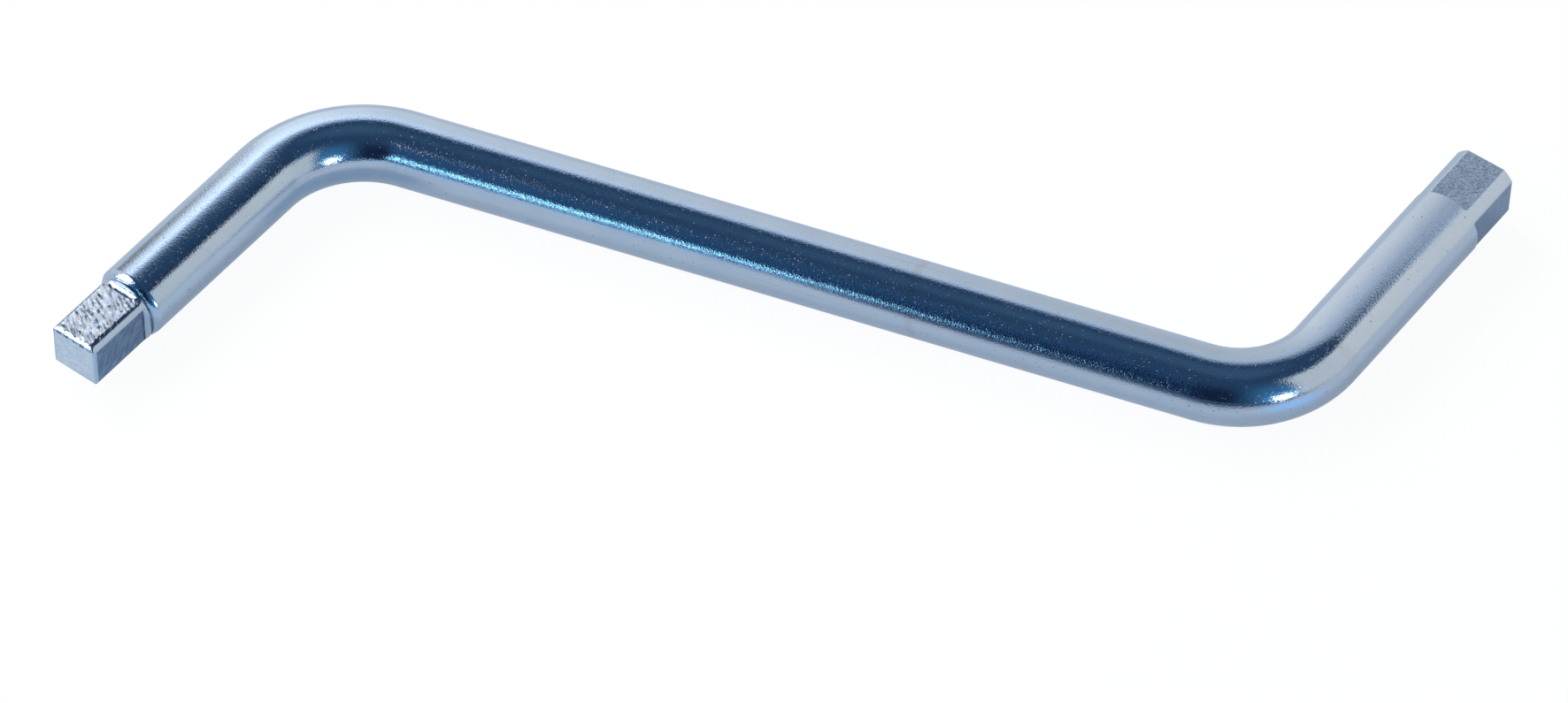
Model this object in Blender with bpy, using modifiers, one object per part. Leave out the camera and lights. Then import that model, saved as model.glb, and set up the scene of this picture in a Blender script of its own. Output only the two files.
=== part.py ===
"""Drain plug wrench: a round steel bar bent twice into an open Z, with a square drive worked on each end.

The tool is one length of bar. It is modelled as the named sections of that bar, end to end, each a
closed solid whose end faces meet those of its neighbours. It lies flat with the handle along X, the
small end reaching to -Y and the large end to +Y, and its lowest line is at z = 0.
Sizes are in metres and angles in degrees.
"""

import math

import bmesh
import bpy
from mathutils import Matrix, Vector

# Bar and handle
BAR_DIAMETER = 0.012
HANDLE_LENGTH = 0.156  # between the two corners, where the straight axes cross
TIP_CHAMFER = 0.0003  # round both end faces

# Small end: a turned spigot with a square milled on it
SMALL_ARM_REACH = 0.0595  # from the corner to the tip
SMALL_BEND_ANGLE = 107.0  # between the handle and the arm
SMALL_BEND_RADIUS = 0.019  # to the bar's axis
SMALL_SPIGOT_DIAMETER = 0.0105
SMALL_SQUARE = 0.008  # across the flats
SMALL_FLAT_LENGTH = 0.0112
SMALL_CUTTER_RADIUS = 0.001  # of the curve by which each flat runs out to the spigot's round
NECK_LENGTH = 0.0006  # bare spigot between the flats and the shoulder
SHOULDER_LENGTH = 0.001  # along the axis, where the bar rounds down to the spigot

# Large end: four shallow flats milled on the bar itself
LARGE_ARM_REACH = 0.0565
LARGE_BEND_ANGLE = 106.0
LARGE_BEND_RADIUS = 0.0165
LARGE_SQUARE = 0.010
LARGE_FLAT_LENGTH = 0.0107
LARGE_CUTTER_RADIUS = 0.0003  # small, so that each flat ends in a straight step across the bar

# Finish: colour, roughness and metallic value
BRIGHT_ZINC = ((0.72, 0.76, 0.83), 0.16, 1.0)
TURNED_ZINC = ((0.76, 0.78, 0.84), 0.22, 1.0)
MILLED_ZINC = ((0.56, 0.62, 0.72), 0.38, 1.0)

# Mesh
ROUND_SIDES = 48
SQUARE_SIDES = 4
BEND_STEPS = 16
ARC_STEPS = 6
SHARP_ANGLE = 40.0
CUTTER_OVERRUN = 0.001
WELD_DISTANCE = 1e-6

PARTS_COLLECTION = "drain_plug_wrench"
CUTTERS_COLLECTION = "cutters"


class BarWalk:
    """A point on the bar's axis and the heading there, which each section moves on to its far end."""

    def __init__(self, point, heading):
        self.point = Vector(point)
        self.heading = heading

    def frame(self):
        """Local Z runs along the heading, local Y is up and local X is to the left."""
        angle = math.radians(self.heading)
        ahead = Vector((math.cos(angle), math.sin(angle), 0.0))
        up = Vector((0.0, 0.0, 1.0))
        left = up.cross(ahead)
        rotation = Matrix((left, up, ahead)).transposed().to_4x4()
        return Matrix.Translation(self.point) @ rotation

    def advance(self, length):
        self.point = self.frame() @ Vector((0.0, 0.0, length))

    def turn_left(self, radius, angle):
        centre = self.frame() @ Vector((radius, 0.0, 0.0))
        turned = Matrix.Rotation(math.radians(angle), 3, "Z")
        self.point = centre + turned @ (self.point - centre)
        self.heading += angle


def clear_scene():
    for obj in list(bpy.data.objects):
        bpy.data.objects.remove(obj, do_unlink=True)


def new_collection(name, hidden=False):
    collection = bpy.data.collections.new(name)
    collection.hide_render = hidden
    bpy.context.scene.collection.children.link(collection)
    return collection


def new_material(name, finish):
    colour, roughness, metallic = finish
    material = bpy.data.materials.new(name)
    material.use_nodes = True
    shader = material.node_tree.nodes["Principled BSDF"]
    shader.inputs["Base Color"].default_value = (*colour, 1.0)
    shader.inputs["Roughness"].default_value = roughness
    shader.inputs["Metallic"].default_value = metallic
    return material


def add_part(name, mesh, frame, finish, root):
    """Makes a visible section of the bar, carried by the root empty."""
    part = bpy.data.objects.new(name, mesh)
    mesh.materials.append(new_material(name + "_finish", finish))
    bpy.data.collections[PARTS_COLLECTION].objects.link(part)
    part.parent = root
    part.matrix_basis = frame
    return part


def add_cutter(name, mesh, frame, root):
    cutter = bpy.data.objects.new(name, mesh)
    cutter.hide_render = True
    cutter.display_type = "WIRE"
    bpy.data.collections[CUTTERS_COLLECTION].objects.link(cutter)
    cutter.parent = root
    cutter.matrix_basis = frame
    return cutter


def mesh_from(shape, name):
    mesh = bpy.data.meshes.new(name)
    bmesh.ops.recalc_face_normals(shape, faces=shape.faces)
    shape.to_mesh(mesh)
    shape.free()
    mesh.shade_smooth()
    mesh.set_sharp_from_angle(angle=math.radians(SHARP_ANGLE))
    return mesh


def profile_mesh(name, points):
    edges = [(i, i + 1) for i in range(len(points) - 1)]
    mesh = bpy.data.meshes.new(name)
    mesh.from_pydata(points, edges, [])
    return mesh


def sweep_round(obj, sides):
    """Sweeps the object's profile once round its local Z axis, in the given number of sides."""
    screw = obj.modifiers.new("sweep", "SCREW")
    screw.steps = sides
    screw.render_steps = sides
    screw.use_merge_vertices = True
    screw.merge_threshold = WELD_DISTANCE
    screw.use_smooth_shade = False


def straight_section(name, walk, length, root):
    shape = bmesh.new()
    radius = BAR_DIAMETER / 2
    bmesh.ops.create_cone(
        shape, cap_ends=True, segments=ROUND_SIDES, radius1=radius, radius2=radius, depth=length
    )
    bmesh.ops.translate(shape, verts=shape.verts, vec=(0.0, 0.0, length / 2))
    add_part(name, mesh_from(shape, name), walk.frame(), BRIGHT_ZINC, root)
    walk.advance(length)


def bend_section(name, walk, radius, angle, root):
    """Spins the bar's round section about the bend's centre, which lies to the left of the walk."""
    shape = bmesh.new()
    bmesh.ops.create_circle(shape, cap_ends=True, segments=ROUND_SIDES, radius=BAR_DIAMETER / 2)
    bmesh.ops.spin(
        shape,
        geom=shape.verts[:] + shape.edges[:] + shape.faces[:],
        cent=(radius, 0.0, 0.0),
        axis=(0.0, 1.0, 0.0),
        angle=math.radians(angle),
        steps=BEND_STEPS,
    )
    add_part(name, mesh_from(shape, name), walk.frame(), BRIGHT_ZINC, root)
    walk.turn_left(radius, angle)


def neck_section(name, walk, root):
    """The bar's end rounds down in a quarter ellipse to the spigot, whose neck stays bare."""
    bar_radius = BAR_DIAMETER / 2
    spigot_radius = SMALL_SPIGOT_DIAMETER / 2
    top = SHOULDER_LENGTH + NECK_LENGTH
    points = [(0.0, 0.0, top), (spigot_radius, 0.0, top)]
    for step in range(ARC_STEPS + 1):
        angle = math.pi / 2 * (1 - step / ARC_STEPS)
        across = spigot_radius + (bar_radius - spigot_radius) * math.cos(angle)
        points.append((across, 0.0, SHOULDER_LENGTH * math.sin(angle)))
    points.append((0.0, 0.0, 0.0))
    neck = add_part(name, profile_mesh(name, points), walk.frame(), TURNED_ZINC, root)
    sweep_round(neck, ROUND_SIDES)
    walk.advance(top)


def runout_length(stock_diameter, square, cutter_radius):
    """The length along the axis in which the cutter's curve climbs from the flat to the round stock."""
    climb = max(min((stock_diameter - square) / 2, cutter_radius), 0.0)
    return math.sqrt(2 * cutter_radius * climb - climb**2)


def square_envelope(square, length, runout, cutter_radius):
    """Profile of the milled square, from the tip down, on the line through one of its corners."""
    half = square / 2
    outline = [(0.0, length), (half - TIP_CHAMFER, length), (half, length - TIP_CHAMFER)]
    for step in range(ARC_STEPS + 1):
        angle = math.pi / 2 * step / ARC_STEPS
        across = half + cutter_radius * (1 - math.cos(angle))
        outline.append((across, runout - cutter_radius * math.sin(angle)))
    lowest = -cutter_radius - CUTTER_OVERRUN
    outline += [(half + cutter_radius, lowest), (0.0, lowest)]
    return [(across, across, height) for across, height in outline]


def square_drive(name, walk, stock_diameter, square, flat_length, cutter_radius, root):
    """The part of the round stock that lies inside the milled square, one pair of flats level."""
    runout = runout_length(stock_diameter, square, cutter_radius)
    length = runout + flat_length
    radius = stock_diameter / 2
    above = length + CUTTER_OVERRUN
    stock = [(0.0, 0.0, above), (radius, 0.0, above), (radius, 0.0, 0.0), (0.0, 0.0, 0.0)]
    drive = add_part(name, profile_mesh(name, stock), walk.frame(), MILLED_ZINC, root)
    sweep_round(drive, ROUND_SIDES)
    envelope = square_envelope(square, length, runout, cutter_radius)
    cutter = add_cutter(name + "_envelope", profile_mesh(name + "_envelope", envelope), walk.frame(), root)
    sweep_round(cutter, SQUARE_SIDES)
    milling = drive.modifiers.new("milling", "BOOLEAN")
    milling.operation = "INTERSECT"
    milling.solver = "EXACT"
    milling.object = cutter
    walk.advance(length)


def bend_setback(radius, turn):
    """From the corner to where the bend meets the straight, along either axis."""
    return radius * math.tan(math.radians(turn) / 2)


def build_small_end(walk, turn, setback, root):
    runout = runout_length(SMALL_SPIGOT_DIAMETER, SMALL_SQUARE, SMALL_CUTTER_RADIUS)
    worked = SHOULDER_LENGTH + NECK_LENGTH + runout + SMALL_FLAT_LENGTH
    bend_section("small_end_bend", walk, SMALL_BEND_RADIUS, turn, root)
    straight_section("small_end_arm", walk, SMALL_ARM_REACH - setback - worked, root)
    neck_section("small_drive_neck", walk, root)
    square_drive(
        "small_square_drive",
        walk,
        SMALL_SPIGOT_DIAMETER,
        SMALL_SQUARE,
        SMALL_FLAT_LENGTH,
        SMALL_CUTTER_RADIUS,
        root,
    )


def build_large_end(walk, turn, setback, root):
    worked = runout_length(BAR_DIAMETER, LARGE_SQUARE, LARGE_CUTTER_RADIUS) + LARGE_FLAT_LENGTH
    bend_section("large_end_bend", walk, LARGE_BEND_RADIUS, turn, root)
    straight_section("large_end_arm", walk, LARGE_ARM_REACH - setback - worked, root)
    square_drive(
        "large_square_drive",
        walk,
        BAR_DIAMETER,
        LARGE_SQUARE,
        LARGE_FLAT_LENGTH,
        LARGE_CUTTER_RADIUS,
        root,
    )


def set_on_ground(root):
    """Moves the tool so that the middle of its footprint is at the origin and its lowest line at z = 0."""
    bpy.context.view_layer.update()
    graph = bpy.context.evaluated_depsgraph_get()
    points = []
    for part in bpy.data.collections[PARTS_COLLECTION].objects:
        if part.type != "MESH":
            continue
        shown = part.evaluated_get(graph)
        points += [shown.matrix_world @ vertex.co for vertex in shown.data.vertices]
    low = Vector(min(point[axis] for point in points) for axis in range(3))
    high = Vector(max(point[axis] for point in points) for axis in range(3))
    middle = (low + high) / 2
    root.location = (-middle.x, -middle.y, -low.z)


def main():
    clear_scene()
    parts = new_collection(PARTS_COLLECTION)
    new_collection(CUTTERS_COLLECTION, hidden=True)
    root = bpy.data.objects.new("wrench_root", None)
    parts.objects.link(root)

    small_turn = 180.0 - SMALL_BEND_ANGLE
    large_turn = 180.0 - LARGE_BEND_ANGLE
    small_setback = bend_setback(SMALL_BEND_RADIUS, small_turn)
    large_setback = bend_setback(LARGE_BEND_RADIUS, large_turn)
    small_side = Vector((-HANDLE_LENGTH / 2 + small_setback, 0.0, 0.0))

    toward_large = BarWalk(small_side, 0.0)
    straight_section("handle_bar", toward_large, HANDLE_LENGTH - small_setback - large_setback, root)
    build_large_end(toward_large, large_turn, large_setback, root)
    build_small_end(BarWalk(small_side, 180.0), small_turn, small_setback, root)
    set_on_ground(root)


main()
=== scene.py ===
"""Drain plug wrench: the bright-plated bar, its worked square ends, and the studio around it."""

import math

import bpy
import numpy as np
from mathutils import Matrix, Vector


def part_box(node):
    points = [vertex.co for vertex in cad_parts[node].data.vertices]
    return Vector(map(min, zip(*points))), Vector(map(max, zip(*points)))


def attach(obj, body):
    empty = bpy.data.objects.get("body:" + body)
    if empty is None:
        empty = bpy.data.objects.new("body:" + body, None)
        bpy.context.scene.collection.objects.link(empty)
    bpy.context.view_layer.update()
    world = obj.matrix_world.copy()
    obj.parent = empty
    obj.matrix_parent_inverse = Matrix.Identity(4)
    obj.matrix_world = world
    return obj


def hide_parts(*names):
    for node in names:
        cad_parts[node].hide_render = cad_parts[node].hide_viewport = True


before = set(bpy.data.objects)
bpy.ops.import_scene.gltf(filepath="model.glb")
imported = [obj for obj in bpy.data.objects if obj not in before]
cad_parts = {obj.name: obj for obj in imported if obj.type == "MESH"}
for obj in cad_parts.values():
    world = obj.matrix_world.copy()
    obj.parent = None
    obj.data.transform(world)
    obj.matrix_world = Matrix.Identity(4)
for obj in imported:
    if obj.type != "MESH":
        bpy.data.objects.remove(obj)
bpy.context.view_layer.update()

# Sizes in millimetres, the same as the CAD part's
BAR_RADIUS = 6.0
HANDLE_LENGTH = 156.0

SMALL_REACH = 59.5
SMALL_TURN = 73.0
SMALL_BEND_RADIUS = 19.0
SMALL_SPIGOT_RADIUS = 5.25
SMALL_HALF = 4.0
SMALL_FLAT = 11.2
SMALL_RUNOUT = 1.0
NECK = 0.6
SHOULDER = 1.0

LARGE_REACH = 56.5
LARGE_TURN = 74.0
LARGE_BEND_RADIUS = 16.5
LARGE_HALF = 5.0
LARGE_FLAT = 10.7
LARGE_RUNOUT = 0.3

# Both tips stop short of the CAD tips' corners, which are chamfered and not rolled
TIP_ROLL = 0.2
TIP_SHORT = 0.15
# The small top flat rolls over further at the tip: this far along, and this far down
TOP_ROLL = 0.6
TOP_ROLL_DOWN = 0.75
# The small tip's bright edge, which the milled finish stops short of
SMALL_TIP = 0.5
# A rolled edge's profile: 1 is a quarter round, 2 a straight slope
SLOPED = 1.55
# The sawn end face inside the rolled edge, as a share of the tip, and how much darker it is made
END_FACE = 0.93
END_DARKENING = 0.07
# The flat beside the top one is cut less deep, which leaves a wider corner between them
SMALL_PROUD = 0.2
# The spigot and the two lower corners are fuller underneath
SMALL_FULLER = 0.55
# The neck's groove: places past the shoulder, and depths below the spigot
GROOVE = ((0.1, 0.12), (0.2, 0.28), (0.32, 0.32), (0.44, 0.20), (0.54, 0.08), (NECK, 0.05))
# The groove's painted shade: its middle past the shoulder, and its half width
GROOVE_SHADE = 0.2
GROOVE_SHADE_WIDTH = 0.16
# How far the hand finish strays on the neck: inward, and along
UNEVEN_IN = 0.03
UNEVEN_ALONG = 0.10

# How finely the meshes are divided
AROUND = 128
STRAIGHT_STEP = 2.5
BEND_STEPS = 72
SHOULDER_STEPS = 16
TIP_CROWDING = 1.6
# Edges that turn more than this are shaded sharp
SHARP_DEGREES = 28

# Seeds of each square's first side; the other sides' follow
SMALL_SEED = 11
LARGE_SEED = 31

# Millimetres in a metre
METRE = 1000.0
UP = Vector((0.0, 0.0, 1.0))
ROUND = np.linspace(0, 2 * math.pi, AROUND, endpoint=False)


# Places along the bar

def setback(radius, turn):
    """From a bend's start to its corner."""
    return radius * math.tan(math.radians(turn) / 2)


handle_low, handle_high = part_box("handle_bar")
SMALL_SETBACK = setback(SMALL_BEND_RADIUS, SMALL_TURN)
LARGE_SETBACK = setback(LARGE_BEND_RADIUS, LARGE_TURN)
HANDLE_STRAIGHT = HANDLE_LENGTH - SMALL_SETBACK - LARGE_SETBACK
SMALL_ARM = SMALL_REACH - SMALL_SETBACK - SHOULDER - NECK - SMALL_RUNOUT - SMALL_FLAT
LARGE_ARM = LARGE_REACH - LARGE_SETBACK - LARGE_RUNOUT - LARGE_FLAT
START = Vector((
    handle_low.x * METRE,
    (handle_low.y + handle_high.y) / 2 * METRE,
    (handle_low.z + handle_high.z) / 2 * METRE,
))
# The middle of the line between the two corners, which the camera is placed from
MIDDLE = START + Vector((HANDLE_LENGTH / 2 - SMALL_SETBACK, 0.0, 0.0))


class Walk:
    """A point on the bar's axis and its heading.

    passed is the place on the unbent bar, from the handle's small end. sign is -1 on the small end's side.
    """

    def __init__(self, point, heading, passed, sign):
        self.point = Vector(point)
        self.heading = heading
        self.passed = passed
        self.sign = sign

    def axes(self):
        angle = math.radians(self.heading)
        ahead = Vector((math.cos(angle), math.sin(angle), 0.0))
        return UP.cross(ahead), UP, ahead

    def advance(self, length):
        self.point = self.point + self.axes()[2] * length
        self.passed += self.sign * length

    def turn_left(self, radius, angle):
        centre = self.point + self.axes()[0] * radius
        turned = Matrix.Rotation(math.radians(angle), 3, "Z")
        self.point = centre + turned @ (self.point - centre)
        self.heading += angle
        self.passed += self.sign * radius * math.radians(angle)


# Meshes

class Section:
    """One ring of points: where they are, where they are on the unbent bar, and their finish.

    The finish is how far a point is worked by the cutter, takes the upright flats' colour (partly painted
    shade), and is darkened: painted shade by burrs and in recesses, slightly on the end face.
    """

    def __init__(self, walk, across, lift, ahead=0.0, worked=0.0, dull=0.0, painted_shade=0.0):
        left, up, along = (np.array(v) for v in walk.axes())
        across, lift = np.asarray(across, float), np.asarray(lift, float)
        ahead, worked, dull, painted_shade = (
            np.broadcast_to(np.asarray(v, float), across.shape) for v in (ahead, worked, dull, painted_shade)
        )
        offset = across[:, None] * left + lift[:, None] * up + ahead[:, None] * along
        self.world = (np.array(walk.point) + offset) / METRE
        self.straight = np.column_stack([walk.sign * across, lift, walk.passed + walk.sign * ahead])
        self.finish = np.column_stack([worked, dull, painted_shade])


def loft(name, sections):
    """A closed mesh through rings of equal point counts, each end closed by a face."""
    count = len(sections[0].world)
    faces = []
    for row in range(len(sections) - 1):
        low, high = row * count, (row + 1) * count
        for i in range(count):
            j = (i + 1) % count
            faces.append((low + i, low + j, high + j, high + i))
    faces.append(tuple(range(count - 1, -1, -1)))
    last = (len(sections) - 1) * count
    faces.append(tuple(range(last, last + count)))
    mesh = bpy.data.meshes.new(name)
    mesh.from_pydata(np.vstack([s.world for s in sections]).tolist(), [], faces)
    mesh.validate()
    for key in ("straight", "finish"):
        values = np.vstack([getattr(s, key) for s in sections]).astype(np.float32)
        mesh.attributes.new(key, "FLOAT_VECTOR", "POINT").data.foreach_set("vector", values.ravel())
    mesh.shade_smooth()
    mesh.set_sharp_from_angle(angle=math.radians(SHARP_DEGREES))
    return mesh


def add_piece(mesh, material, node):
    piece = bpy.data.objects.new(mesh.name, mesh)
    bpy.context.scene.collection.objects.link(piece)
    mesh.materials.append(material)
    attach(piece, "root")
    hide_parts(node)


def rising(value, width):
    """0 below 0, and evenly up to 1 at this width."""
    return np.clip(value / width, 0, 1)


def bar_section(walk, radius=BAR_RADIUS, ahead=0.0, painted_shade=0.0):
    return Section(walk, radius * np.cos(ROUND), radius * np.sin(ROUND), ahead, painted_shade=painted_shade)


def straight_bar(name, walk, length):
    steps = max(2, round(length / STRAIGHT_STEP))
    sections = [bar_section(walk)]
    for _ in range(steps):
        walk.advance(length / steps)
        sections.append(bar_section(walk))
    return loft(name, sections)


def bent_bar(name, walk, radius, turn):
    sections = [bar_section(walk)]
    for _ in range(BEND_STEPS):
        walk.turn_left(radius, turn / BEND_STEPS)
        sections.append(bar_section(walk))
    return loft(name, sections)


def fuller(angle):
    """What the spigot has extra underneath, by polar angle."""
    return SMALL_FULLER * np.clip(-1.5 * np.sin(angle), 0, 1)


def neck(name, walk):
    """The bar rounds down to the turned spigot, by a hand-finished shoulder and a shallow groove."""
    wave = 0.5 * np.sin(3 * ROUND + 0.7) + 0.3 * np.sin(7 * ROUND + 2.1) + 0.2 * np.sin(12 * ROUND + 4.0)
    drop = BAR_RADIUS - SMALL_SPIGOT_RADIUS
    # Place along the bar, radius, and the share of the hand finish's unevenness
    stations = [(0.0, BAR_RADIUS, 0.0)]
    for step in range(1, SHOULDER_STEPS + 1):
        share = step / SHOULDER_STEPS
        angle = math.pi / 2 * share
        run, rise = math.sin(angle) ** SLOPED, math.cos(angle) ** SLOPED
        stations.append((SHOULDER * run, SMALL_SPIGOT_RADIUS + drop * rise, share))
    for ahead, depth in GROOVE:
        stations.append((SHOULDER + ahead, SMALL_SPIGOT_RADIUS - depth, 1.0 - ahead / NECK))
    sections = []
    for ahead, radius, uneven in stations:
        turned = min(max(BAR_RADIUS - radius, 0) / drop, 1)
        radius = radius - UNEVEN_IN * uneven * (1 + wave) + fuller(ROUND) * turned
        # Painted shade in the groove, heaviest on one side
        off = abs(ahead - SHOULDER - GROOVE_SHADE) / GROOVE_SHADE_WIDTH
        groove = min(max(1 - off, 0.0), 1.0)
        recess_shade = groove * np.clip(0.75 + 0.5 * np.cos(ROUND + 0.6), 0, 1)
        strayed = ahead + UNEVEN_ALONG * uneven * (1 - uneven) * wave
        sections.append(bar_section(walk, radius, strayed, recess_shade))
    walk.advance(SHOULDER + NECK)
    return loft(name, sections)


class SquareRing:
    """Rings of a square cut from round stock, drawn by polar angle.

    Its sides are numbered round from the first upright one, and 1 is the top. sharpness sets how tight the
    edges are: those of the upright sides, then those of the top and bottom.
    """

    # A side cuts where the cosine of the angle from it is above this, and its marks are read up to this angle
    LEAST_FACING = 0.2
    WIDEST_TURN = 1.3
    OUT_OF_REACH = 1e3
    # Depths inside the stock, as shares of its radius: a worked flat's, and the middle and half width of the
    # painted shade along the burr
    WORKED = 0.012
    BURR_SHADE = 0.026
    BURR_SHADE_WIDTH = 0.028
    BURR_SHADE_STRENGTH = 1.6

    def __init__(self, half, stock, flat_points, corner_points, sharpness):
        edge = math.acos(half / stock) + math.radians(1.0)
        flat = np.degrees(np.arctan(np.linspace(-1, 1, flat_points) * math.tan(edge)))
        corner = np.linspace(flat[-1], 90 - flat[-1], corner_points + 2)[1:-1]
        side = np.concatenate([flat, corner])
        self.angle = np.radians(np.concatenate([side + 90 * s for s in range(4)]))
        self.upright = np.abs(np.cos(self.angle)) > math.sqrt(0.5)
        self.power = np.where(self.upright, sharpness[0], sharpness[1])

    def points(self, halves, stock, marks, tight=1.0):
        """Leftward and upward offsets. Where flats are worked, where they are upright (a colour partly
        painted shade), and the painted shade along a burred edge are kept for the finish.
        """
        limits = []
        for side in range(4):
            turn = self.angle - side * math.pi / 2
            facing = np.maximum(np.cos(turn), self.LEAST_FACING)
            depth = marks(side, halves[side] * np.tan(np.clip(turn, -self.WIDEST_TURN, self.WIDEST_TURN)))
            reach = (halves[side] - depth) / facing
            limits.append(np.where(np.cos(turn) > self.LEAST_FACING, reach, self.OUT_OF_REACH))
        nearest = np.min(limits, axis=0)
        inverse = 1 / np.array(limits + [np.broadcast_to(stock, self.angle.shape)])
        largest = inverse.max(0)
        power = self.power * tight
        radius = 1 / (largest * ((inverse / largest) ** power).sum(0) ** (1 / power))
        inside = (stock - nearest) / stock
        self.worked = rising(inside, self.WORKED)
        self.dull = self.upright * self.worked
        # Painted shade along the top flat's burred edge towards the first side
        first_edge = (self.angle > math.pi / 4) & (self.angle < math.pi / 2)
        fall = self.BURR_SHADE_STRENGTH * np.abs(inside - self.BURR_SHADE) / self.BURR_SHADE_WIDTH
        self.painted_shade = first_edge * np.clip(self.BURR_SHADE_STRENGTH - fall, 0, 1)
        return radius * np.cos(self.angle), radius * np.sin(self.angle)


class MillMarks:
    """Shallow strokes left by the cutter, as a depth over one flat."""

    HALF_WIDTH = 3.6
    SPREAD_DEGREES = 7
    LONG = (0.5, 1.6)
    WIDE = (0.12, 0.26)

    def __init__(self, seed, length, count, depth, angle, fan=0.0, size=1.0):
        rng = np.random.default_rng(seed)
        self.x = rng.uniform(-self.HALF_WIDTH, self.HALF_WIDTH, count)
        self.z = rng.uniform(0, length, count)
        self.angle = np.radians(rng.normal(angle, self.SPREAD_DEGREES, count) + fan * self.x)
        self.long = rng.uniform(*self.LONG, count) * size
        self.wide = rng.uniform(*self.WIDE, count) * size
        self.deep = rng.uniform(-1.0, 1.0, count) * depth

    def __call__(self, x, z):
        dx = x[:, None] - self.x
        dz = z - self.z
        run = dx * np.sin(self.angle) + dz * np.cos(self.angle)
        off = dx * np.cos(self.angle) - dz * np.sin(self.angle)
        return (self.deep * np.exp(-((off / self.wide) ** 2) - (run / self.long) ** 4)).sum(1)


def edge_roll(left_over, along, down, sloped=1.0):
    """How far a face has rolled over, left_over from the tip."""
    share = min(max(1 - left_over / along, 0.0), 1.0)
    power = 2 / sloped
    return down * (1 - (1 - share ** power) ** (1 / power))


def cutter_rise(ahead, radius):
    """How far the cutter's own round still stands above the flat, this far into its run."""
    short = max(radius - ahead, 0.0)
    return radius - math.sqrt(radius * radius - short * short)


def drive_stations(length, runout, runout_steps, flat_steps, tip, tip_steps):
    """Places along a square, close together in the cutter's run-out and where the tip's edge rolls over."""
    stations = [runout * (1 - math.cos(math.pi / 2 * i / runout_steps)) for i in range(runout_steps + 1)]
    stations += list(np.linspace(runout, length - tip, flat_steps)[1:])
    stations += [length - tip * (1 - i / tip_steps) ** TIP_CROWDING for i in range(1, tip_steps + 1)]
    return stations


def end_face(walk, across, lift, length):
    """The sawn face inside the tip's rolled edge."""
    return Section(walk, END_FACE * across, END_FACE * lift, length, 1.0, 0.0, END_DARKENING)


def small_drive(name, walk):
    """The small square: coarse strokes on the top flat, a round run-out, and ragged painted shade along a
    burred edge.
    """
    length = SMALL_RUNOUT + SMALL_FLAT - TIP_SHORT
    # Depth and angle of each side's strokes
    strokes = ((0.010, 40), (0.105, -54), (0.016, -35), (0.040, 54))
    marks = [
        MillMarks(SMALL_SEED + side, length, count=150, depth=depth, angle=angle)
        for side, (depth, angle) in enumerate(strokes)
    ]
    ring = SquareRing(
        SMALL_HALF, SMALL_SPIGOT_RADIUS, flat_points=64, corner_points=16, sharpness=(70.0, 55.0)
    )
    stations = drive_stations(
        length, SMALL_RUNOUT, runout_steps=10, flat_steps=105, tip=SMALL_TIP, tip_steps=12
    )
    sections = []
    for ahead in stations:
        left_over = length - ahead
        base = SMALL_HALF + cutter_rise(ahead, SMALL_RUNOUT)
        roll = edge_roll(left_over, TIP_ROLL, TIP_ROLL)
        halves = [base - roll] * 4
        halves[0] += SMALL_PROUD
        halves[1] = base - edge_roll(left_over, TOP_ROLL, TOP_ROLL_DOWN, SLOPED)
        # The strokes fade out towards the flat's ends and edges
        weight = rising(ahead - 0.2 * SMALL_RUNOUT, 0.5) * rising(left_over - TIP_ROLL, 0.4)

        def lowered(side, x):
            return marks[side](x, ahead) * rising(3.55 - np.abs(x), 0.25) * weight

        stock = SMALL_SPIGOT_RADIUS + fuller(ring.angle) - roll
        tight = 0.3 + 0.7 * min(ahead / SMALL_RUNOUT, 1.0)
        across, lift = ring.points(halves, stock, lowered, tight)
        finish = rising(ahead - 0.5 * SMALL_RUNOUT, 0.2) * rising(left_over - SMALL_TIP, 0.15)
        painted_shade = rising(ahead - SMALL_RUNOUT, 0.8) * ring.painted_shade
        # Painted shade in the round end of the flat beside the top one
        facing = rising(np.cos(ring.angle + 0.3) - 0.6, 0.2)
        recess_shade = np.clip(1.4 - abs(ahead - 0.75 * SMALL_RUNOUT) / 0.18, 0, 1) * facing
        painted_shade = np.maximum(painted_shade, 0.8 * recess_shade)
        # A broken line of painted shade along the tip's burred top edge
        if left_over < TIP_ROLL:
            broken = np.clip(0.5 + 0.8 * np.sin(4.1 * across + 0.6) + 0.5 * np.sin(9.7 * across), 0, 1)
            painted_shade = (lift > 0.8 * lift.max()) * (1 - left_over / TIP_ROLL) * broken
        sections.append(Section(walk, across, lift, ahead, ring.worked * finish, ring.dull * finish, painted_shade))
    sections.append(end_face(walk, across, lift, length))
    walk.advance(length)
    return loft(name, sections)


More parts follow.
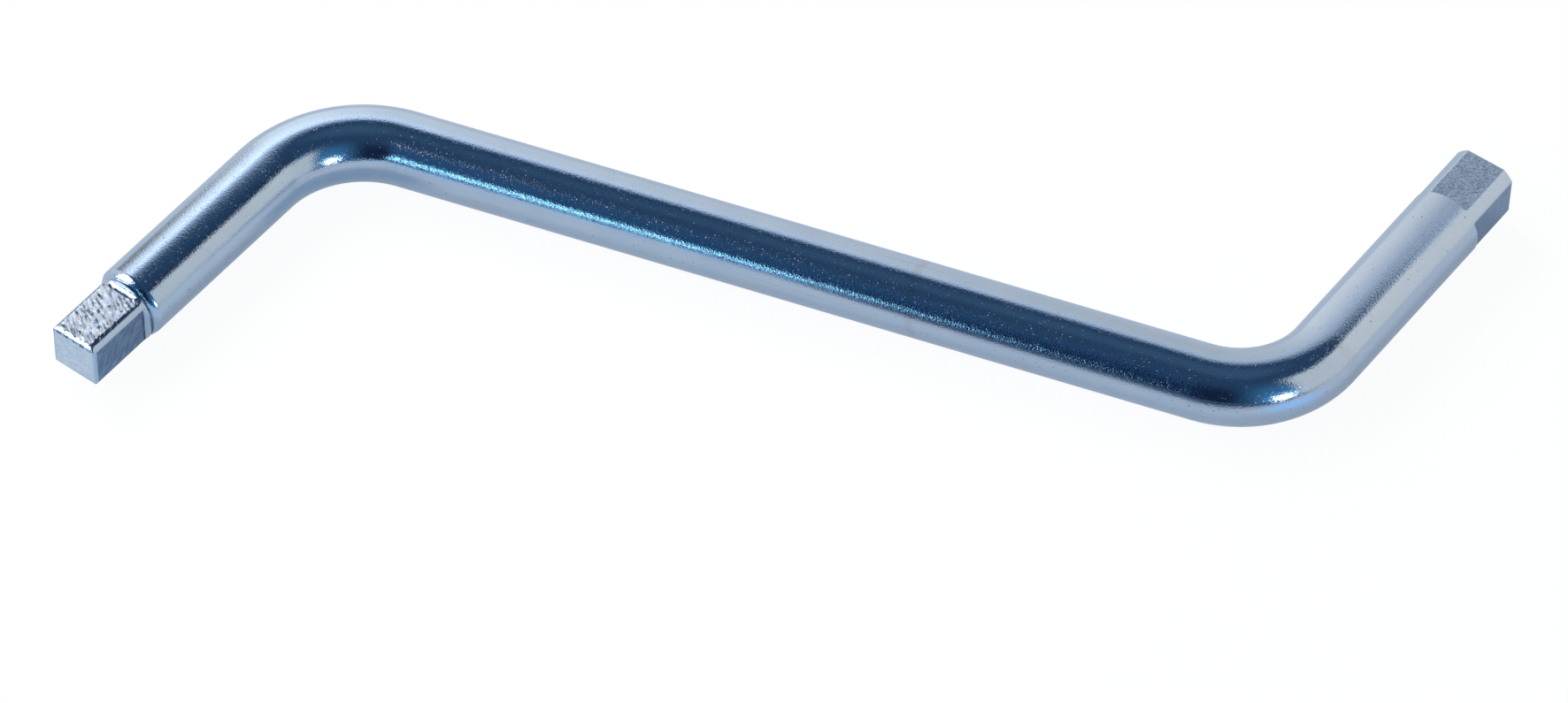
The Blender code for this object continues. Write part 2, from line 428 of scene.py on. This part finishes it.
def large_drive(name, walk):
    """The large square: four flats with fine arcs of a face cutter, and strips of bar left between them."""
    length = LARGE_RUNOUT + LARGE_FLAT - TIP_SHORT
    marks = [
        MillMarks(LARGE_SEED + side, length, count=260, depth=0.022, angle=8, fan=16.0, size=0.8)
        for side in range(4)
    ]
    ring = SquareRing(LARGE_HALF, BAR_RADIUS, flat_points=56, corner_points=18, sharpness=(240.0, 240.0))
    stations = drive_stations(length, LARGE_RUNOUT, runout_steps=6, flat_steps=100, tip=TIP_ROLL, tip_steps=6)
    sections = []
    for ahead in stations:
        left_over = length - ahead
        roll = edge_roll(left_over, TIP_ROLL, TIP_ROLL)
        halves = [LARGE_HALF + cutter_rise(ahead, LARGE_RUNOUT) - roll] * 4
        # The arcs fade out towards the flat's ends and edges
        weight = rising(ahead - LARGE_RUNOUT, 0.3) * rising(left_over - TIP_ROLL, 0.2)

        def lowered(side, x):
            return np.abs(marks[side](x, ahead)) * rising(3.2 - np.abs(x), 0.3) * weight

        across, lift = ring.points(halves, BAR_RADIUS - roll, lowered)
        sections.append(Section(walk, across, lift, ahead, ring.worked, ring.dull))
    sections.append(end_face(walk, across, lift, length))
    walk.advance(length)
    return loft(name, sections)


# Materials

# Bump strength of the plate, and the height in metres that a bump stands for
PLATE_BUMP = 0.16
BUMP_HEIGHT = 0.0002
# Slant of the scratches on the milled flats, in radians
SCRATCH_SLANT = 0.9


class Graph:
    """Short calls for a node tree."""

    def __init__(self, tree):
        self.tree = tree
        tree.nodes.clear()

    def add(self, kind, inputs=None, **settings):
        item = self.tree.nodes.new(kind)
        for key, value in settings.items():
            setattr(item, key, value)
        for key, value in (inputs or {}).items():
            self.set(item.inputs[key], value)
        return item

    def set(self, socket, value):
        if isinstance(value, bpy.types.NodeSocket):
            self.tree.links.new(value, socket)
        else:
            socket.default_value = value

    def math(self, operation, first, second=0.0, third=0.0):
        return self.add("ShaderNodeMath", {0: first, 1: second, 2: third}, operation=operation).outputs[0]

    def times(self, first, second):
        return self.math("MULTIPLY", first, second)

    def linear(self, value, factor, offset):
        return self.math("MULTIPLY_ADD", value, factor, offset)

    def smooth(self, value, low, high):
        inputs = {"Value": value, "From Min": low, "From Max": high}
        return self.add("ShaderNodeMapRange", inputs, interpolation_type="SMOOTHSTEP").outputs[0]

    def band(self, value, low, high, soft):
        rise = self.smooth(value, low - soft, low + soft)
        fall = self.smooth(value, high + soft, high - soft)
        return self.times(rise, fall)

    def mix(self, factor, first, second):
        item = self.add("ShaderNodeMix", data_type="RGBA")
        self.set(item.inputs["Factor"], factor)
        self.set(item.inputs[6], first)
        self.set(item.inputs[7], second)
        return item.outputs[2]

    def blend(self, factor, first, second):
        item = self.add("ShaderNodeMix", data_type="FLOAT")
        self.set(item.inputs["Factor"], factor)
        self.set(item.inputs[2], first)
        self.set(item.inputs[3], second)
        return item.outputs[0]

    def noise(self, vector, scale, detail=2.0, roughness=0.5):
        inputs = {"Vector": vector, "Scale": scale, "Detail": detail, "Roughness": roughness}
        return self.add("ShaderNodeTexNoise", inputs).outputs["Fac"]

    def cells(self, vector, scale):
        """Distances from scattered points, and three chances for each point."""
        item = self.add("ShaderNodeTexVoronoi", {"Vector": vector, "Scale": scale})
        chances = self.add("ShaderNodeSeparateColor", {0: item.outputs["Color"]}).outputs
        return item.outputs["Distance"], chances

    def stretch(self, vector, scale):
        return self.add("ShaderNodeVectorMath", {0: vector, 1: scale}, operation="MULTIPLY").outputs[0]

    def split(self, vector):
        return self.add("ShaderNodeSeparateXYZ", {0: vector}).outputs

    def attribute(self, name):
        return self.add("ShaderNodeAttribute", attribute_name=name).outputs["Vector"]

    def position(self):
        return self.add("ShaderNodeNewGeometry").outputs["Position"]

    def rays(self):
        """Whether a ray is the camera's, and whether it is mirrored or passed on by the object."""
        path = self.add("ShaderNodeLightPath").outputs
        return path["Is Camera Ray"], self.math("MAXIMUM", path["Is Glossy Ray"], path["Is Transmission Ray"])

    def ramp(self, value, stops):
        item = self.add("ShaderNodeValToRGB", {0: value})
        elements = item.color_ramp.elements
        while len(elements) < len(stops):
            elements.new(0.5)
        for element, (position, level) in zip(elements, stops):
            element.position = position
            element.color = (level, level, level, 1.0)
        return item.outputs[0]

    def emission(self, colour):
        return self.add("ShaderNodeEmission", {"Color": colour, "Strength": 1.0}).outputs[0]

    def finish(self, shader):
        self.add("ShaderNodeOutputMaterial", {"Surface": shader})

    def finish_mixed(self, share, first, second):
        self.finish(self.add("ShaderNodeMixShader", {0: share, 1: first, 2: second}).outputs[0])


def rgb(red, green, blue):
    return (red, green, blue, 1.0)


def new_material(name):
    material = bpy.data.materials.new(name)
    material.use_nodes = True
    return material, Graph(material.node_tree)


def stains(graph, place):
    """A faint slanting ring round the handle, and a faint patch where the large bend ends."""
    across, lift, along = graph.split(place)
    slant = graph.linear(lift, 0.18, along)
    ring = graph.times(graph.band(slant, 84.1, 85.4, 0.45), graph.noise(place, 0.8, 3.0))
    patch = graph.times(graph.band(along, 149.4, 151.2, 0.5), graph.band(across, -6.5, -1.5, 1.2))
    return graph.linear(ring, 0.45, graph.times(patch, 0.12))


def pits(graph, place):
    """Sparse small pits."""
    distance, chances = graph.cells(place, 0.85)
    chosen = graph.math("GREATER_THAN", chances[0], 0.74)
    size = graph.linear(chances[1], 0.10, 0.07)
    return graph.times(graph.smooth(graph.math("DIVIDE", distance, size), 1.0, 0.5), chosen)


def specks(graph, place):
    """Dull specks of uneven shape, in patches."""
    wobble = graph.add("ShaderNodeTexNoise", {"Vector": place, "Scale": 3.5}).outputs["Color"]
    inputs = {0: wobble, 1: (0.35, 0.35, 0.35), 2: place}
    uneven = graph.add("ShaderNodeVectorMath", inputs, operation="MULTIPLY_ADD").outputs[0]
    distance, chances = graph.cells(uneven, 2.9)
    patchy = graph.linear(graph.noise(place, 0.25, 2.0), 0.9, chances[0])
    shown = graph.times(graph.math("GREATER_THAN", patchy, 1.17), chances[1])
    size = graph.linear(chances[2], 0.9, 0.5)
    return graph.times(graph.smooth(graph.math("DIVIDE", distance, size), 0.34, 0.14), shown)


class Plate:
    """Bright zinc over drawn bar: its colour, relief and roughness by place on the unbent bar."""

    def __init__(self, graph, place):
        along = graph.split(place)[2]
        pit = pits(graph, place)
        speck = specks(graph, place)
        # From the large bend on, the plate is paler and its peel weaker
        beyond = graph.smooth(along, 138.0, 154.0)

        cloud = graph.noise(place, 0.16, 3.0)
        streak = graph.noise(graph.stretch(place, (1.6, 1.6, 0.03)), 1.0, 3.0)
        colour = graph.mix(cloud, rgb(0.52, 0.63, 0.78), rgb(0.62, 0.725, 0.865))
        for share, tone in (
            (graph.smooth(streak, 0.62, 0.80), rgb(0.47, 0.56, 0.69)),
            (graph.times(beyond, 0.55), rgb(0.66, 0.735, 0.85)),
            (stains(graph, place), rgb(0.47, 0.42, 0.40)),
            (graph.times(pit, 0.55), rgb(0.20, 0.23, 0.28)),
            (graph.times(speck, 0.5), rgb(0.62, 0.62, 0.60)),
        ):
            colour = graph.mix(share, colour, tone)
        self.colour = colour

        # Orange peel at two scales, draw lines, and the specks and pits sunk into them
        peel = graph.linear(graph.noise(place, 5.5, 1.0), 0.6, graph.noise(place, 3.2, 1.0))
        peel = graph.times(peel, graph.blend(beyond, 1.0, 0.5))
        draw = graph.noise(graph.stretch(place, (4.0, 4.0, 0.08)), 1.0, 2.0)
        relief = graph.linear(draw, 0.15, graph.times(peel, 0.55))
        relief = graph.linear(speck, -0.35, relief)
        self.relief = graph.linear(pit, -0.7, relief)

        # Duller towards the large tip, and in the pits, specks and stipple
        tip = graph.smooth(along, 160.0, 186.0)
        stipple = graph.smooth(graph.noise(place, 2.8, 2.0, 0.6), 0.50, 0.66)
        rough = graph.linear(graph.noise(place, 0.7, 3.0), 0.08, 0.06)
        for dull, amount in ((tip, 0.12), (speck, 0.50), (stipple, 0.08), (pit, 0.3)):
            rough = graph.linear(dull, amount, rough)
        self.rough = rough


def metal(graph, colour, rough, relief, strength):
    bump = graph.add("ShaderNodeBump", {"Height": relief, "Strength": strength, "Distance": BUMP_HEIGHT})
    inputs = {"Base Color": colour, "Metallic": 1.0, "Roughness": rough, "Normal": bump.outputs[0]}
    graph.finish(graph.add("ShaderNodeBsdfPrincipled", inputs).outputs[0])


def ragged_shade(graph, place, colour, painted_shade):
    """Ragged dark colour: painted shade along burrs and in recesses, and a slight darkening of the end face.
    """
    ragged = graph.times(painted_shade, graph.smooth(graph.noise(place, 1.4, 2.0), 0.28, 0.44))
    # The dark colour of the painted shade
    return graph.mix(graph.times(ragged, 0.95), colour, rgb(0.02, 0.03, 0.07))


def plated_zinc():
    material, graph = new_material("bright_zinc_plate")
    place = graph.attribute("straight")
    plate = Plate(graph, place)
    painted_shade = graph.split(graph.attribute("finish"))[2]
    metal(graph, ragged_shade(graph, place, plate.colour, painted_shade), plate.rough, plate.relief, PLATE_BUMP)
    return material


def milled_zinc(name, dark, light, side, grain, roughness, strength):
    """Plate over milled flats, with the bar's own bright surface left at the corners."""
    material, graph = new_material(name)
    place = graph.attribute("straight")
    plate = Plate(graph, place)
    worked, dull, painted_shade = graph.split(graph.attribute("finish"))
    fine = graph.noise(place, grain, 3.0, 0.65)
    blotch = graph.noise(place, 0.9, 3.0, 0.6)
    inputs = {"Vector": place, "Angle": SCRATCH_SLANT}
    slanted = graph.add("ShaderNodeVectorRotate", inputs, rotation_type="X_AXIS").outputs[0]
    scratch = graph.noise(graph.stretch(slanted, (2.0, 5.0, 0.6)), 1.0, 3.0, 0.6)

    mottle = graph.linear(scratch, 0.35, graph.times(fine, 0.45))
    mottle = graph.linear(blotch, 0.2, mottle)
    milled = graph.mix(graph.smooth(mottle, 0.40, 0.60), dark, light)
    # The upright flats get a darker colour, partly painted shade, broken by the scratches
    side_shade_share = graph.linear(graph.smooth(scratch, 0.70, 0.35), 0.28, 0.66)
    milled = graph.mix(graph.times(dull, side_shade_share), milled, side)
    colour = graph.mix(worked, plate.colour, milled)
    colour = ragged_shade(graph, place, colour, painted_shade)

    rough = graph.blend(worked, plate.rough, graph.linear(fine, 0.16, roughness))
    cut = graph.linear(fine, 0.7, graph.times(scratch, 0.3))
    relief = graph.blend(worked, graph.times(plate.relief, PLATE_BUMP / strength), cut)
    metal(graph, colour, rough, relief, strength)
    return material


# The studio, in metres

# The far and right cards meet at a corner; the strip stands further off on the near side
CARD_LEFT = -0.64
CARD_RIGHT = 0.47
CARD_NEAR = -0.215
CARD_FAR = 0.322
STRIP_LEFT = -0.47
STRIP_RIGHT = -0.18
STRIP_NEAR = -1.0
CARD_HEIGHT = 0.8
FLOOR_REACH = 6.0


def floor_paper():
    """White for the camera; pale for the metal, with the object's shadow on it and a dark near side."""
    material, graph = new_material("floor_paper")
    seen, mirrored = graph.rays()
    place = graph.position()
    x, y, _ = graph.split(place)
    # The near side darkens sooner on the right, and glows on the left of a slanting line
    start = graph.blend(graph.smooth(x, -0.02, 0.03), -0.034, -0.012)
    near = graph.smooth(graph.math("SUBTRACT", y, start), 0.0, -0.046)
    line = graph.linear(y, -0.2, x)
    glow = graph.mix(graph.smooth(line, 0.020, -0.020), rgb(0.045, 0.085, 0.155), rgb(0.46, 0.66, 0.85))
    glow = graph.mix(near, rgb(0.575, 0.635, 0.71), glow)
    # The lamp's blue beside the large bend, and the shade inside the small one
    for centre, reach, tone in (
        ((0.098, -0.010, 0.0), 0.019, rgb(0.42, 0.74, 1.15)),
        ((-0.0675, -0.0115, 0.0), 0.012, rgb(0.32, 0.41, 0.52)),
    ):
        off = graph.add("ShaderNodeVectorMath", {0: place, 1: centre}, operation="DISTANCE").outputs["Value"]
        spot = graph.smooth(off, reach, 0.2 * reach)
        glow = graph.mix(spot, glow, tone)
        near = graph.math("MAXIMUM", near, graph.times(spot, 0.8))
    light = graph.emission(graph.mix(seen, glow, rgb(1.06, 1.06, 1.06)))
    paper = graph.add("ShaderNodeBsdfDiffuse", {"Color": rgb(0.90, 0.90, 0.90)})
    reflected = graph.times(mirrored, graph.linear(near, 0.45, 0.50))
    graph.finish_mixed(graph.linear(seen, 0.88, reflected), paper.outputs[0], light)
    return material


def fading_card(name, light_of):
    """A card that is clear where its light fades out, so that the studio behind shows there."""
    material, graph = new_material(name)
    colour, cover = light_of(graph, *graph.split(graph.position()))
    clear = graph.add("ShaderNodeBsdfTransparent")
    graph.finish_mixed(cover, clear.outputs[0], graph.emission(colour))
    return material


def below(graph, z, top, soft):
    """1 under a card's top and 0 over it, over an edge that is soft by this height."""
    return graph.smooth(graph.math("DIVIDE", graph.math("SUBTRACT", z, top), soft), 1.0, -1.0)


def far_card(graph, x, y, z):
    """A soft box on the left, dimmer to the right, and bluer towards its top."""
    # Light by place along the card
    lit = [
        (-0.60, 0.42), (-0.45, 0.46), (-0.37, 0.98), (-0.28, 1.0), (-0.17, 0.82),
        (0.0, 0.60), (0.12, 0.62), (0.30, 0.68), (CARD_RIGHT, 0.84),
    ]
    low, high = lit[0][0], lit[-1][0]
    level = graph.ramp(
        graph.math("DIVIDE", graph.math("SUBTRACT", x, low), high - low),
        [((place - low) / (high - low), value) for place, value in lit],
    )
    # Brighter in the box's middle and upper part, dim low down at its left end, and folded on the right
    slanting = graph.linear(x, -0.92, z)
    middle = graph.times(graph.band(z, 0.20, 0.38, 0.10), graph.band(x, -0.40, -0.24, 0.08))
    upper = graph.times(graph.band(x, -0.345, -0.225, 0.025), graph.smooth(z, 0.29, 0.40))
    smear = graph.times(graph.smooth(x, -0.402, -0.434), graph.band(z, 0.02, 0.22, 0.07))
    fold = graph.times(graph.band(slanting, 0.268, 0.312, 0.018), graph.smooth(x, 0.03, 0.08))
    for where, change in ((middle, 0.24), (upper, 0.40), (smear, -0.45), (fold, -0.28)):
        level = graph.times(level, graph.linear(where, change, 1.0))
    tint = graph.mix(graph.smooth(z, 0.20, 0.50), rgb(0.98, 1.01, 1.03), rgb(0.90, 1.04, 1.24))
    colour = graph.add("ShaderNodeVectorMath", {0: tint, "Scale": level}, operation="SCALE").outputs[0]

    right = graph.smooth(x, 0.10, 0.26)
    soft = graph.blend(right, 0.16, 0.055)
    soft = graph.blend(graph.smooth(x, 0.33, 0.38), soft, 0.022)
    cover = below(graph, z, graph.blend(right, 0.515, 0.485), soft)
    # A notch in the card's top, near its right end
    notch = graph.times(graph.band(slanting, 0.158, 0.174, 0.012), graph.smooth(z, 0.43, 0.48))
    notch = graph.times(notch, graph.smooth(x, 0.26, 0.30))
    cover = graph.times(cover, graph.math("SUBTRACT", 1.0, notch))
    return colour, graph.times(cover, graph.smooth(x, CARD_LEFT, CARD_LEFT + 0.10))


def nearer(graph, y, start):
    """How far a point lies on the near side of start, and 0 on its far side."""
    return graph.math("MAXIMUM", graph.math("SUBTRACT", start, y), 0.0)


def right_card(graph, x, y, z):
    """A grey card, higher and softer towards its near end."""
    colour = graph.mix(graph.smooth(y, 0.05, 0.24), rgb(0.655, 0.67, 0.66), rgb(0.75, 0.75, 0.73))
    top = graph.linear(nearer(graph, y, 0.04), 0.6, 0.455)
    top = graph.linear(graph.smooth(y, 0.29, 0.32), 0.035, top)
    cover = below(graph, z, top, graph.linear(nearer(graph, y, -0.05), 0.6, 0.05))
    return colour, graph.times(cover, graph.smooth(y, CARD_NEAR, CARD_NEAR + 0.05))


def near_strip(graph, x, y, z):
    """A low cyan strip light on the near left, lower and bluer to the right."""
    colour = graph.mix(graph.smooth(x, -0.27, -0.20), rgb(1.22, 2.50, 2.85), rgb(0.60, 1.45, 2.85))
    cover = graph.times(graph.smooth(x, -0.46, -0.40), graph.smooth(x, -0.197, -0.238))
    slanting = graph.linear(x, 1.05, z)
    return colour, graph.times(cover, graph.band(slanting, -0.167, -0.050, 0.018))


def studio_world():
    """A plain dome for the floor; the metal sees a dark ceiling and near side, a left wall and a lamp."""
    world = bpy.data.worlds.new("studio")
    bpy.context.scene.world = world
    world.use_nodes = True
    world.cycles.sampling_method = "NONE"
    graph = Graph(world.node_tree)
    x, y, z = graph.split(graph.add("ShaderNodeTexCoord").outputs["Generated"])
    # Degrees up, and degrees round from the near side, positive to +X
    degree = 180 / math.pi
    rise = graph.times(graph.math("ARCSINE", z), degree)
    side = graph.times(graph.math("ARCTAN2", x, graph.times(y, -1.0)), degree)

    shade = graph.mix(graph.smooth(side, -15.2, -11.8), rgb(0.026, 0.10, 0.22), rgb(0.010, 0.020, 0.050))
    shade = graph.mix(graph.band(side, 30.0, 96.0, 16.0), shade, rgb(0.05, 0.18, 0.33))
    ceiling = graph.mix(graph.smooth(rise, 69.0, 79.0), rgb(0.026, 0.065, 0.124), rgb(0.048, 0.104, 0.172))
    colour = graph.mix(graph.smooth(rise, 26.0, 62.0), shade, ceiling)

    wall = graph.times(graph.band(side, -150.0, -84.0, 6.0), graph.smooth(rise, 56.0, 42.0))
    colour = graph.mix(wall, colour, rgb(0.72, 0.73, 0.74))

    halo = graph.times(graph.band(side, 43.0, 63.0, 7.0), graph.band(rise, -3.0, 17.0, 7.0))
    colour = graph.mix(graph.times(halo, 0.5), colour, rgb(0.30, 0.85, 1.50))
    lamp = graph.times(graph.band(side, 48.0, 58.0, 2.0), graph.band(rise, 0.0, 12.0, 2.5))
    colour = graph.mix(lamp, colour, rgb(5.6, 6.6, 7.0))

    seen, mirrored = graph.rays()
    colour = graph.mix(mirrored, rgb(0.22, 0.275, 0.34), colour)
    colour = graph.mix(seen, colour, rgb(1.0, 1.0, 1.0))
    sky = graph.add("ShaderNodeBackground", {"Color": colour, "Strength": 1.0})
    graph.add("ShaderNodeOutputWorld", {"Surface": sky.outputs[0]})


def soft_light(name, side, rise, distance, size, radiance):
    """A rectangular lamp facing the object, side degrees from the near side and rise degrees up."""
    side, rise = math.radians(side), math.radians(rise)
    toward = Vector((math.cos(rise) * math.sin(side), -math.cos(rise) * math.cos(side), math.sin(rise)))
    lamp = bpy.data.lights.new(name, "AREA")
    lamp.shape = "RECTANGLE"
    lamp.size, lamp.size_y = size
    lamp.energy = radiance * math.pi * lamp.size * lamp.size_y
    light = bpy.data.objects.new(name, lamp)
    facing = toward.to_track_quat("Z", "Y").to_matrix().to_4x4()
    light.matrix_world = Matrix.Translation(toward * distance) @ facing
    light.visible_camera = False
    bpy.context.scene.collection.objects.link(light)
    return light


def stage_sheet(name, corners, material):
    mesh = bpy.data.meshes.new(name)
    mesh.from_pydata(corners, [], [(0, 1, 2, 3)])
    mesh.materials.append(material)
    sheet = bpy.data.objects.new(name, mesh)
    bpy.context.scene.collection.objects.link(sheet)
    return sheet


def card(name, first, second, light_of):
    """An upright card over the line between two plan points, seen only in the metal."""
    material = fading_card(name, light_of)
    material.cycles.emission_sampling = "NONE"
    corners = [(*first, 0.0), (*second, 0.0), (*second, CARD_HEIGHT), (*first, CARD_HEIGHT)]
    sheet = stage_sheet(name, corners, material)
    sheet.visible_camera = False
    sheet.visible_diffuse = False
    sheet.visible_shadow = False


# The camera, fitted to the photo: its turns in degrees, where the middle lies from it in millimetres (to the
# right, down and ahead), and its focal length in pixels of the photo
CAMERA_AZIMUTH = 19.54
CAMERA_ELEVATION = 50.08
CAMERA_ROLL = -1.26
CAMERA_OFFSET = (1.68, -13.60, 1219.31)
FOCAL_PIXELS = 9000.0
PHOTO_WIDTH = 1772.0
SENSOR_WIDTH = 36.0


def photo_camera():
    azimuth, elevation = math.radians(CAMERA_AZIMUTH), math.radians(CAMERA_ELEVATION)
    roll = math.radians(CAMERA_ROLL)
    level = Vector((math.cos(azimuth), math.sin(azimuth), 0.0))
    steep = Vector((
        math.sin(elevation) * math.sin(azimuth),
        -math.sin(elevation) * math.cos(azimuth),
        -math.cos(elevation),
    ))
    right = math.cos(roll) * level + math.sin(roll) * steep
    down = -math.sin(roll) * level + math.cos(roll) * steep
    ahead = right.cross(down)
    offset = Vector(CAMERA_OFFSET)
    eye = MIDDLE - right * offset.x - down * offset.y - ahead * offset.z
    lens = bpy.data.cameras.new("camera")
    lens.sensor_fit = "HORIZONTAL"
    lens.sensor_width = SENSOR_WIDTH
    lens.lens = FOCAL_PIXELS * SENSOR_WIDTH / PHOTO_WIDTH
    lens.clip_start = 0.01
    lens.clip_end = 40.0
    camera = bpy.data.objects.new("camera", lens)
    turned = Matrix((right, -down, -ahead)).transposed().to_4x4()
    camera.matrix_world = Matrix.Translation(eye / METRE) @ turned
    bpy.context.scene.collection.objects.link(camera)
    bpy.context.scene.camera = camera


# The bar, outward from the handle's small end

bright = plated_zinc()
# side is the upright flats' darker colour, partly painted shade
small_milled = milled_zinc(
    "milled_small_square",
    dark=rgb(0.68, 0.74, 0.84),
    light=rgb(0.95, 0.97, 1.00),
    side=rgb(0.07, 0.17, 0.33),
    grain=4.5,
    roughness=0.12,
    strength=0.16,
)
large_milled = milled_zinc(
    "milled_large_square",
    dark=rgb(0.27, 0.37, 0.51),
    light=rgb(0.62, 0.70, 0.82),
    side=rgb(0.28, 0.38, 0.54),
    grain=2.4,
    roughness=0.28,
    strength=0.30,
)


def add_bar(mesh, node):
    add_piece(mesh, bright, node)


out = Walk(START, 0.0, 0.0, 1.0)
add_bar(straight_bar("bar_handle", out, HANDLE_STRAIGHT), "handle_bar")
add_bar(bent_bar("bar_large_bend", out, LARGE_BEND_RADIUS, LARGE_TURN), "large_end_bend")
add_bar(straight_bar("bar_large_arm", out, LARGE_ARM), "large_end_arm")
add_piece(large_drive("square_large", out), large_milled, "large_square_drive")

out = Walk(START, 180.0, 0.0, -1.0)
add_bar(bent_bar("bar_small_bend", out, SMALL_BEND_RADIUS, SMALL_TURN), "small_end_bend")
add_bar(straight_bar("bar_small_arm", out, SMALL_ARM), "small_end_arm")
add_bar(neck("neck_small", out), "small_drive_neck")
add_piece(small_drive("square_small", out), small_milled, "small_square_drive")


# Floor, light and camera

floor_corners = [(x * FLOOR_REACH, y * FLOOR_REACH, 0.0) for x, y in ((-1, -1), (1, -1), (1, 1), (-1, 1))]
stage_sheet("floor", floor_corners, floor_paper())
card("far_card", (CARD_RIGHT, CARD_FAR), (CARD_LEFT, CARD_FAR), far_card)
card("right_card", (CARD_RIGHT, CARD_NEAR), (CARD_RIGHT, CARD_FAR), right_card)
card("near_strip", (STRIP_LEFT, STRIP_NEAR), (STRIP_RIGHT, STRIP_NEAR), near_strip)
soft_light("window", side=-60.0, rise=28.0, distance=2.0, size=(1.36, 1.80), radiance=2.1)
soft_box = soft_light("soft_box", side=-120.0, rise=40.0, distance=1.2, size=(0.6, 0.6), radiance=5.4)
# The metal sees the soft box in the far card
soft_box.visible_glossy = False
studio_world()
photo_camera()

bpy.context.scene.view_settings.view_transform = "Standard"

bpy.context.view_layer.update()
